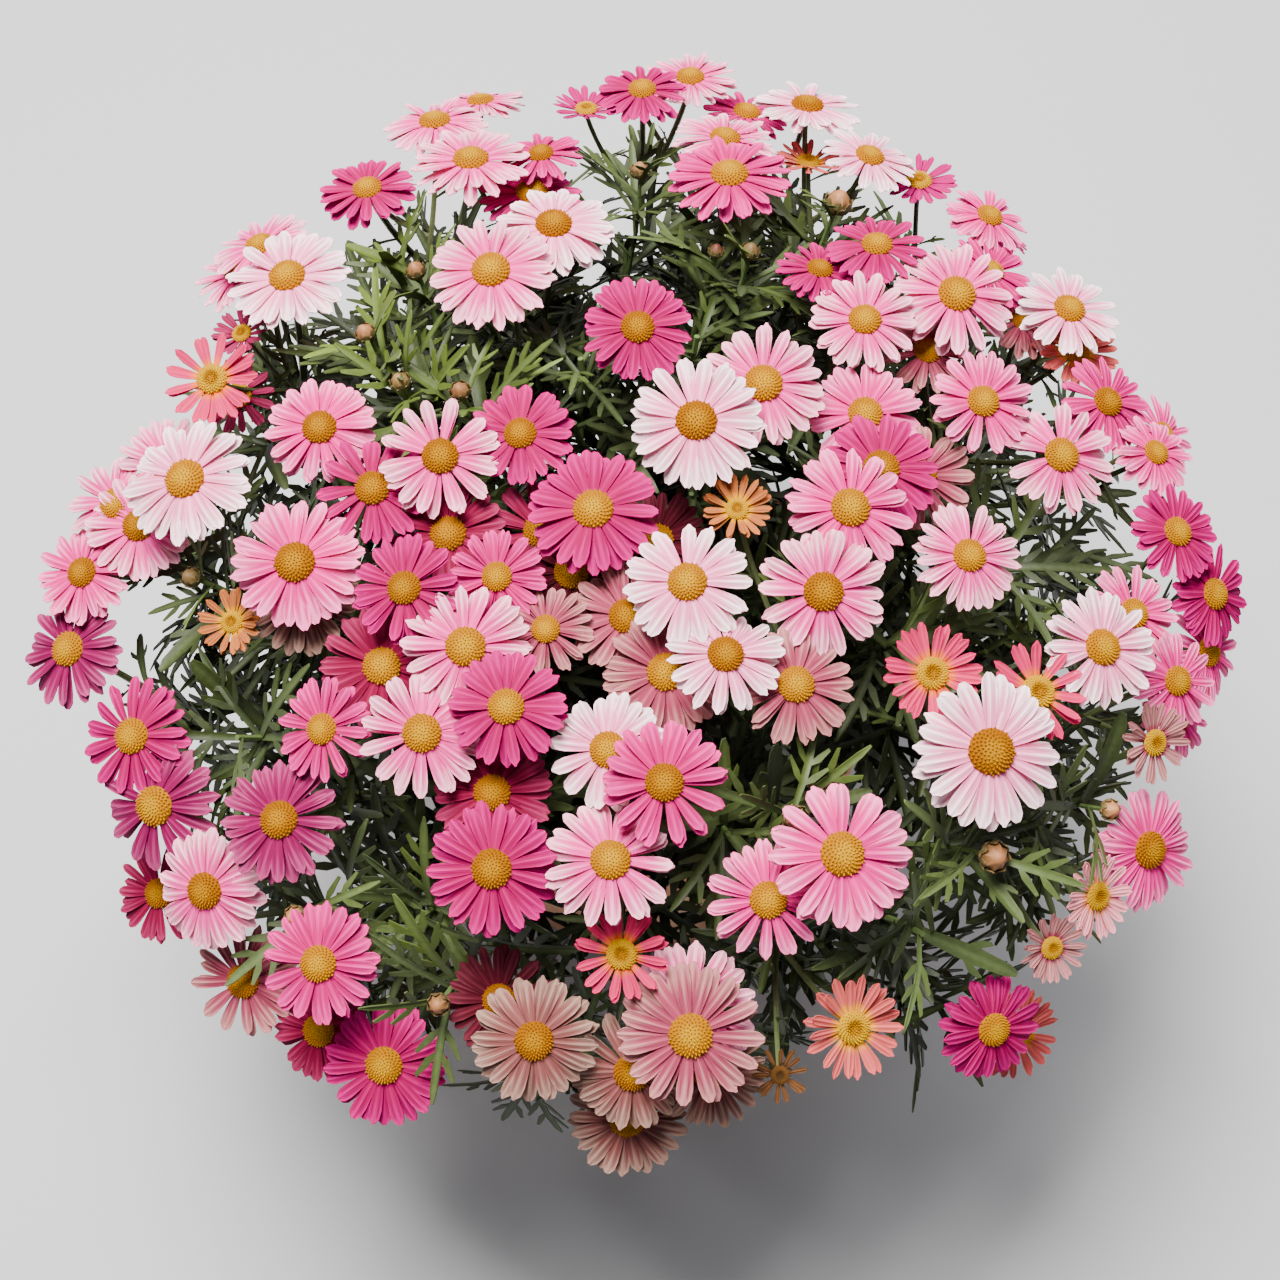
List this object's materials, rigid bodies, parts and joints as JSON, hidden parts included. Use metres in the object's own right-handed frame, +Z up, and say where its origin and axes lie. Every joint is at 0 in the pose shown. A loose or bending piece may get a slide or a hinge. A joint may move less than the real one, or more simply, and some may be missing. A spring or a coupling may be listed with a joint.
{
  "type": "potted marguerite daisy",
  "caption": "Bushy marguerite daisy in a plain clay pot: a rounded dome of pink and white daisy blooms over narrow cut leaves, resting on the pot's flat foot.",
  "frame": {"origin": "middle of the pot's flat base, on the surface that it stands on", "axes": "+Z up along the pot's axis, -Y towards the side that the picture was taken from, +X to the right as seen from there"},
  "size_m": [0.516, 0.5308, 0.4251],
  "materials": {
    "terracotta": "matte",
    "potting_mix": "matte",
    "bark": "matte",
    "foliage": "matte",
    "petals_hot_pink": "matte",
    "petals_pale_pink": "matte",
    "petals_mid_pink": "matte"
  },
  "bodies": {
    "root": {"pot": "terracotta", "potting_mix": "potting_mix", "woody_base": "bark", "leafy_stem_01": "foliage", "leafy_stem_02": "foliage", "leafy_stem_03": "foliage", "leafy_stem_04": "foliage", "leafy_stem_05": "foliage", "leafy_stem_06": "foliage", "leafy_stem_07": "foliage", "leafy_stem_08": "foliage", "leafy_stem_09": "foliage", "leafy_stem_10": "foliage", "leafy_stem_11": "foliage", "flower_bunch_01": "petals_hot_pink", "flower_bunch_02": "petals_hot_pink", "flower_bunch_03": "petals_hot_pink", "flower_bunch_04": "petals_hot_pink", "flower_bunch_05": "petals_hot_pink", "flower_bunch_06": "petals_hot_pink", "flower_bunch_07": "petals_hot_pink", "flower_bunch_08": "petals_hot_pink", "flower_bunch_09": "petals_hot_pink", "flower_bunch_10": "petals_hot_pink", "flower_bunch_11": "petals_hot_pink", "flower_bunch_12": "petals_hot_pink", "flower_bunch_13": "petals_pale_pink", "flower_bunch_14": "petals_pale_pink", "flower_bunch_15": "petals_pale_pink", "flower_bunch_16": "petals_pale_pink", "flower_bunch_17": "petals_pale_pink", "flower_bunch_18": "petals_pale_pink", "flower_bunch_19": "petals_pale_pink", "flower_bunch_20": "petals_pale_pink", "flower_bunch_21": "petals_pale_pink", "flower_bunch_22": "petals_pale_pink", "flower_bunch_23": "petals_pale_pink", "flower_bunch_24": "petals_pale_pink", "flower_bunch_25": "petals_pale_pink", "flower_bunch_26": "petals_pale_pink", "flower_bunch_27": "petals_pale_pink", "flower_bunch_28": "petals_pale_pink", "flower_bunch_29": "petals_pale_pink", "flower_bunch_30": "petals_pale_pink", "flower_bunch_31": "petals_pale_pink", "flower_bunch_32": "petals_mid_pink", "flower_bunch_33": "petals_mid_pink", "flower_bunch_34": "petals_mid_pink", "flower_bunch_35": "petals_mid_pink", "flower_bunch_36": "petals_mid_pink", "flower_bunch_37": "petals_mid_pink", "flower_bunch_38": "petals_mid_pink", "flower_bunch_39": "petals_mid_pink", "flower_bunch_40": "petals_mid_pink", "flower_bunch_41": "petals_mid_pink", "flower_bunch_42": "petals_mid_pink", "flower_bunch_43": "petals_mid_pink", "flower_bunch_44": "petals_mid_pink", "flower_bunch_45": "petals_mid_pink"}
  },
  "joints": []
}
